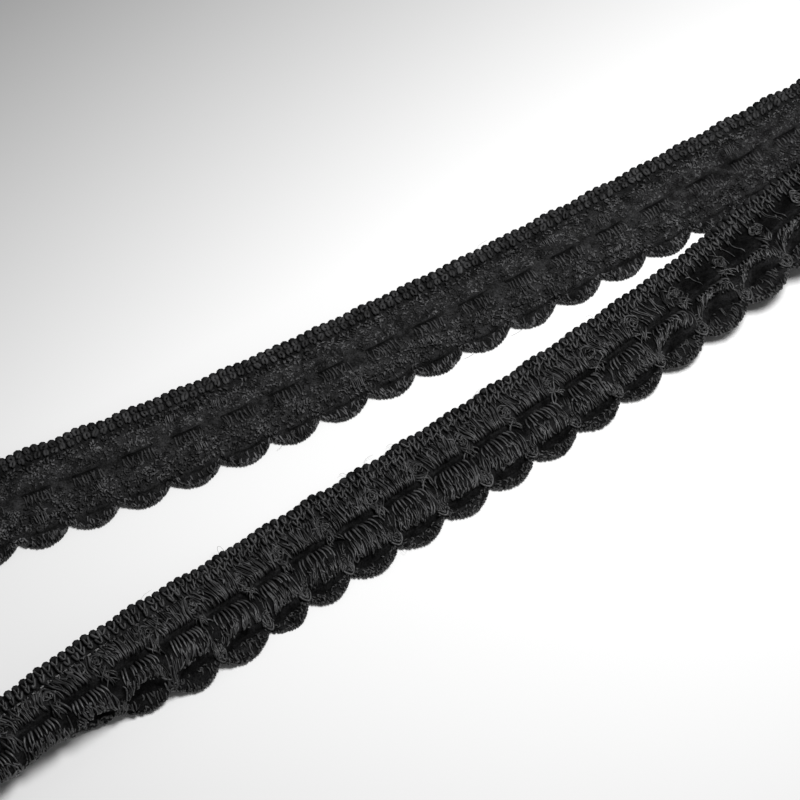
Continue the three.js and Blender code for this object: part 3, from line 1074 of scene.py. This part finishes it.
def lobe_grains(rng, side, first, last, number, tumble):
    """Worm-like grains that cover the lobes between two rows of the section. Each is a short arc
    whose chord points across the band give or take a tumble, and bulges to one side."""
    shape = (SCALLOPS, number, 1)
    middle, spread, path = per_scallop(number, 5)
    about, between = draws(rng, shape)
    spread = rng.permuted(np.broadcast_to(spread, shape), axis=1)
    heading = np.pi / 2 + about(0, tumble)
    length = between(0.4, 0.85) * (path - 0.5)
    bulge = about(0, 0.2) * np.sin(np.pi * path)
    beside = length * np.cos(heading) - bulge * np.sin(heading)
    below = length * np.sin(heading) + bulge * np.cos(heading)
    along = middle + 0.46 * spread + beside / PITCH_AT_ORIGIN
    row = np.clip(between(first, last) + below / 0.75, first, last)
    lift = 0.03 + 0.14 * np.sin(np.pi * path) * between(0.5, 1.4)
    radius = 0.125 * rounded(5, 0.6) * between(0.8, 1.25)
    return tubes(lay(along, row, lift, side, radius), radius, between(0, 1),
                 kept(rng, number, side), flat=True)


def lobe_loops(rng):
    """Short wraps that go round the rim from the face to the back, and grains on the face."""
    number = 18
    steps = 7
    middle, spread, path = per_scallop(number, steps)
    about, between = draws(rng, (SCALLOPS, number, 1))
    along = middle + 0.485 * spread + about(0, 0.008) + about(0, 0.03) * (path - 0.5)
    radius = 0.15 * rounded(steps, 0.6) * about(1, 0.15)
    laid = round_rim(along, between(0.3, 0.9), 0.9, steps, radius)
    wraps = tubes(laid, radius, between(0, 1))
    marks = MARKS["face"]
    return [wraps, lobe_grains(rng, "face", marks["lobe_rise"] - 0.25, marks["rim"] - 0.1, 46, 0.8)]


def back_rings(rng):
    """On the back of each stitch two rings drawn out across the band, one on the bead and a
    narrower one behind it, each left open where its yarn goes down into the knit."""
    about, between = draws(rng, STITCH_MIDDLES.shape)
    parts = []
    for across, half_across, half_along, out in (
        (1.00, 0.38, 0.36, -0.06),
        (1.93, 0.44, 0.28, 0.02),
    ):
        turn = np.linspace(0, 1.8 * np.pi, 9)[None, :] + about(1.9, 0.3)
        half = half_along * about(1, 0.18)
        lean = about(-0.1, 0.25)
        below = half_across * about(1, 0.13) * np.sin(turn)
        along = STITCH_MIDDLES + (half * np.cos(turn) + lean * below) / PITCH_AT_ORIGIN
        level = out + about(0, 0.06) - 0.06 * np.cos(2 * turn)
        radius = 0.25 * about(1, 0.1)
        keep = kept(rng, 1, "back", STITCH_MIDDLES)
        laid = place(along, across + below + about(0, 0.06), level, radius)
        shade = between(0.1, 0.25) + rng.normal(0, 0.06, along.shape)
        parts.append(tubes(laid, radius, shade, keep, 5, True))
    return parts


def back_ribs(rng, number, reach, radius):
    """Short soft ribs on the back, behind the comb-like ribs of the face."""
    steps = 6
    middle, spread, path = per_scallop(number, steps)
    about, between = draws(rng, (SCALLOPS, number, 1))
    marks = MARKS["back"]
    start = marks["comb_end"] + between(-0.25, 0.25)
    end = marks["comb"] + between(0, 0.4)
    row = start + (end - start) * path
    along = middle + shift_at(row, "back") + 0.5 * reach * spread
    along = along + about(0, 0.012) + about(0, 0.02) * (path - 0.5)
    along = along + about(0, 0.012) * np.sin(2 * np.pi * (path + between(0, 1)))
    height = 0.02 + 0.06 * between(0, 1) + 0.03 * np.sin(np.pi * path)
    thick = radius * rng.uniform(0.7, 1.25, along.shape) * rounded(steps)
    shade = rng.uniform(0.05, 0.4, along.shape)
    return tubes(lay(along, row, height, "back", thick), thick, shade, kept(rng, number, "back"))


def back_tufts(rng, low, high, number):
    """Here and there a tuft of paler filaments that lie side by side and arch off the back."""
    path = np.linspace(0, 1, 6)[None, None, :]
    one_about, one_between = draws(rng, (SCALLOPS, 1, 1))
    about, between = draws(rng, (SCALLOPS, number, 1))
    centre = KNOTS[:-1, None, None] + 0.65 + one_about(0, 0.12)
    middle = one_between(low, high)
    length = one_between(0.7, 1.8) * between(0.7, 1.2)
    slant = one_about(0, 0.35) + about(0, 0.12)
    beside = np.linspace(-0.8, 0.8, number)[None, :, None] + about(0, 0.08)
    along = centre + (beside + slant * length * (path - 0.5)) / PITCH_AT_ORIGIN
    across = middle + about(0, 0.12) + length * (path - 0.5)
    out = -0.1 - between(0.1, 0.4) * np.sin(np.pi * path)
    keep = kept(rng, number, "back") & np.repeat(rng.random(SCALLOPS) < 0.45, number)
    return tubes(place(along, across, out, 0.07), 0.1 * rounded(6), between(0.3, 0.9), keep, 3)


def back_fluff(rng, count, low, high, size, radius, lift, bright=1.0):
    """Crimped ends of filaments strewn over the back in every direction, each a short bent rod.
    Their tone changes slowly over the cloth."""
    number = SCALLOPS * count
    about, between = draws(rng, (number, 1))
    path = np.linspace(0, 1, 3)[None, :]
    heading = between(0, 2 * np.pi)
    heading = heading + about(0, 1.5) * (path - 0.5)
    length = size * between(0.5, 1.5) * (path - 0.5)
    centre = np.repeat(KNOTS[:-1], count)[:, None] + between(0, 1)
    middle = between(low, high)
    along = centre + length * np.cos(heading) / PITCH_AT_ORIGIN
    across = middle + length * np.sin(heading)
    out = -lift * between(-0.1, 1.0) ** 2 - 0.05 * np.sin(np.pi * path)
    thick = radius * between(0.7, 1.4) * rounded(3, 0.6)
    tone = 0.42 + 0.25 * np.sin(9.7 * centre + 2.3 * middle) * np.sin(2.9 * middle - 5.1 * centre)
    tone = tone + 0.15 * np.cos(2 * np.pi * (centre - 0.83))
    shade = bright * np.clip(tone + between(-0.3, 0.3), 0, 1)
    return tubes(place(along, across, out, thick), thick, shade, kept(rng, count, "back"), 3, True)


def stray_fibres(rng):
    """A few loose hairs that leave the yarns along both edges, each a bent arc, and one longer
    loop that stands off the heading."""
    about, between = draws(rng, (34, 1))
    path = np.linspace(0, 1, 8)[None, :]
    along = between(1, SCALLOPS - 1)
    edge = between(0, 1) < 0.5
    start = np.where(edge, 0.1, 13.6)
    away = np.where(edge, -1.0, 1.0) * between(0.3, 1.0)
    bend = about(0, 1.2)
    along = along + (bend * path**2 + about(0, 0.3) * path) / ROUND_PITCH
    across = start + away * np.sin(0.6 * np.pi * path)
    out = 0.6 + between(-0.3, 0.5) * path
    hairs = tubes(place(along, across, out, 0.03), 0.016 * rounded(8), between(0, 1), sides=3)
    swing = np.linspace(0, 1, 14)[None, :]
    along = STRAY_LOOP_PLACE + 0.07 * np.cos(np.pi * swing) + 0.03 * swing
    across = 0.3 - 0.95 * np.sin(np.pi * swing)
    laid = place(along, across, 0.8 + 0.4 * np.sin(np.pi * swing), 0.03)
    return [hairs, tubes(laid, 0.02, 1, flat=True)]


def sizes_and_dice(seed):
    """The size settings and a seeded generator of random numbers."""
    return bpy.context.scene.picot_sizes, np.random.default_rng(seed)


class PICOT_OT_heading(bpy.types.Operator):
    """Make the beads and strands of the heading"""

    bl_idname = "picot.heading"
    bl_label = "Heading"

    def execute(self, context):
        sizes, rng = sizes_and_dice(11)
        material = finish_named("shaded_bead_yarn")
        build_piece("heading_beads", [heading_beads(sizes, rng)], material)
        material = finish_named("heading_yarn")
        build_piece("heading_eyes", heading_eyes(sizes, rng), material)
        build_piece("heading_links", heading_links(sizes, rng), material)
        return {"FINISHED"}


class PICOT_OT_first_shells(bpy.types.Operator):
    """Make the shells of the first row, with the rosettes between them"""

    bl_idname = "picot.first_shells"
    bl_label = "First shells"

    def execute(self, context):
        sizes, rng = sizes_and_dice(12)
        build_piece("first_shells", first_shell_floats(sizes, rng), finish_named("shell_yarn"))
        material = finish_named("knot_yarn")
        build_piece("rosettes", rosettes(sizes, rng), material)
        build_piece("slot_bridges", [slot_bridges(sizes, rng)], material)
        return {"FINISHED"}


class PICOT_OT_second_shells(bpy.types.Operator):
    """Make the shells of the second row"""

    bl_idname = "picot.second_shells"
    bl_label = "Second shells"

    def execute(self, context):
        sizes, rng = sizes_and_dice(13)
        material = finish_named("shell_yarn")
        build_piece("second_shell_ribs", [second_shell_ribs(sizes, rng)], material)
        build_piece("second_shell_filaments", second_shell_filaments(sizes, rng), material)
        return {"FINISHED"}


class PICOT_OT_edge(bpy.types.Operator):
    """Make the lobes of the scalloped edge and the knots between them"""

    bl_idname = "picot.edge"
    bl_label = "Scalloped edge"

    def execute(self, context):
        _, rng = sizes_and_dice(14)
        build_piece("lobe_loops", lobe_loops(rng), finish_named("lobe_yarn"))
        build_piece("cusp_knots", cusp_knots(rng), finish_named("knot_yarn"))
        return {"FINISHED"}


class PICOT_OT_back(bpy.types.Operator):
    """Make the threads of the back"""

    bl_idname = "picot.back"
    bl_label = "Back"

    def execute(self, context):
        _, rng = sizes_and_dice(15)
        material = finish_named("back_yarn")
        build_piece("back_heading", back_rings(rng), material)
        build_piece("back_ribs", [
            back_ribs(rng, 9, 0.56, 0.16),
            lobe_grains(rng, "back", 0.1, 1.9, 44, 0.45),
        ], material)
        build_piece("back_tufts", [
            back_tufts(rng, 4.2, 5.8, 9),
            back_tufts(rng, 9.8, 11.6, 9),
        ], material)
        build_piece("back_fluff", [
            back_fluff(rng, 145, 2.85, 6.6, 0.55, 0.14, 0.16),
            back_fluff(rng, 25, 7.6, 9.0, 0.45, 0.12, 0.1, 0.4),
            back_fluff(rng, 150, 8.9, 12.5, 0.55, 0.14, 0.2),
        ], material)
        build_piece("stray_fibres", stray_fibres(rng), material)
        return {"FINISHED"}


class PICOT_OT_body(bpy.types.Operator):
    """Make the knitted body"""

    bl_idname = "picot.body"
    bl_label = "Knitted body"

    def execute(self, context):
        body = build_piece("knit_body", [knit_body()], finish_named("knit_core"))
        return {"FINISHED"}


class PICOT_OT_stage(bpy.types.Operator):
    """Make the pale floor, the soft lights and the camera"""

    bl_idname = "picot.stage"
    bl_label = "Stage"

    def execute(self, context):
        build_floor()
        build_lights()
        build_camera()
        return {"FINISHED"}


def build_floor():
    """A large pale plane just under the band, with painted shade that darkens it far behind the band
    and a little in front.
    """
    half = 3.0
    level = -0.00005
    corners = [(-half, -half, level), (half, -half, level), (half, half, level),
               (-half, half, level)]
    mesh = bpy.data.meshes.new("floor")
    mesh.from_pydata(corners, [], [(0, 1, 2, 3)])
    floor = bpy.data.objects.new("floor", mesh)
    bpy.context.scene.collection.objects.link(floor)
    material, tree, shader, coordinates = new_material("pale_floor")
    colour = add_node(tree, "ShaderNodeRGB").outputs["Color"]
    colour.default_value = (*bpy.context.scene.picot_finish.floor_colour, 1)
    axes = add_node(tree, "ShaderNodeSeparateXYZ", {"Vector": coordinates["Object"]})
    # Painted shade: the floor's colour falls off far behind the band and a little in front of it
    for near, far, low in ((0.022, 0.095, 0.46), (-0.02, -0.09, 0.82)):
        colour = scaled(tree, colour, ranged(tree, axes.outputs["Y"], near, far, 1.0, low))
    tree.links.new(colour, shader.inputs["Base Color"])
    shader.inputs["Roughness"].default_value = 0.6
    shader.inputs["Specular IOR Level"].default_value = 0.2
    mesh.materials.append(material)


def area_light(name, position, target, size, power):
    """A soft square lamp that faces its target."""
    lamp = bpy.data.lights.new(name, "AREA")
    lamp.size = size
    lamp.energy = power
    holder = bpy.data.objects.new(name, lamp)
    holder.location = position
    holder.rotation_euler = (Vector(target) - Vector(position)).to_track_quat("-Z", "Y").to_euler()
    bpy.context.scene.collection.objects.link(holder)


def build_lights():
    """A soft lamp overhead, a little in front of the band, and an even pale sky."""
    world = bpy.data.worlds.new("pale_sky")
    world.use_nodes = True
    world.node_tree.nodes["Background"].inputs["Color"].default_value = (1, 1, 1, 1)
    world.node_tree.nodes["Background"].inputs["Strength"].default_value = 0.16
    bpy.context.scene.world = world
    area_light("overhead_lamp", (0.05, -0.03, 0.26), (0.03, -0.02, 0.0), 0.1, 0.82)


def build_camera():
    """The photograph's view: from the front right, 62 degrees above the surface."""
    elevation = np.radians(62.0)
    azimuth = np.radians(-32.0)
    distance = 0.3429
    target = Vector(-PLAN_CENTRE * MM)
    level = Vector((-np.sin(azimuth), np.cos(azimuth), 0.0))
    forward = level * np.cos(elevation) - Vector((0, 0, 1)) * np.sin(elevation)
    lens = bpy.data.cameras.new("camera")
    lens.lens = 108.0
    lens.sensor_width = 36.0
    lens.clip_start = 0.01
    camera = bpy.data.objects.new("camera", lens)
    camera.location = target - forward * distance
    camera.rotation_euler = forward.to_track_quat("-Z", "Y").to_euler()
    bpy.context.scene.collection.objects.link(camera)
    bpy.context.scene.camera = camera
    bpy.context.scene.view_settings.view_transform = "Standard"


class PICOT_PT_panel(bpy.types.Panel):
    """Lists the steps and settings of the picot elastic"""

    bl_label = "Picot Elastic"
    bl_idname = "PICOT_PT_panel"
    bl_space_type = "VIEW_3D"
    bl_region_type = "UI"
    bl_category = "Picot Elastic"

    def draw(self, context):
        for group in (context.scene.picot_sizes, context.scene.picot_finish):
            for name in group.__annotations__:
                self.layout.prop(group, name)
        for operator in STEPS:
            self.layout.operator(operator.bl_idname)


GROUPS = (PicotSizes, PicotFinish)
STEPS = (
    PICOT_OT_heading,
    PICOT_OT_first_shells,
    PICOT_OT_second_shells,
    PICOT_OT_edge,
    PICOT_OT_back,
    PICOT_OT_body,
    PICOT_OT_stage,
)


def register():
    for kind in (*GROUPS, *STEPS, PICOT_PT_panel):
        bpy.utils.register_class(kind)
    bpy.types.Scene.picot_sizes = PointerProperty(type=PicotSizes)
    bpy.types.Scene.picot_finish = PointerProperty(type=PicotFinish)


def unregister():
    del bpy.types.Scene.picot_finish
    del bpy.types.Scene.picot_sizes
    for kind in reversed((*GROUPS, *STEPS, PICOT_PT_panel)):
        bpy.utils.unregister_class(kind)


def main():
    register()
    bpy.ops.picot.heading()
    bpy.ops.picot.first_shells()
    bpy.ops.picot.second_shells()
    bpy.ops.picot.edge()
    bpy.ops.picot.back()
    bpy.ops.picot.body()
    bpy.ops.picot.stage()


if __name__ == "__main__":
    main()
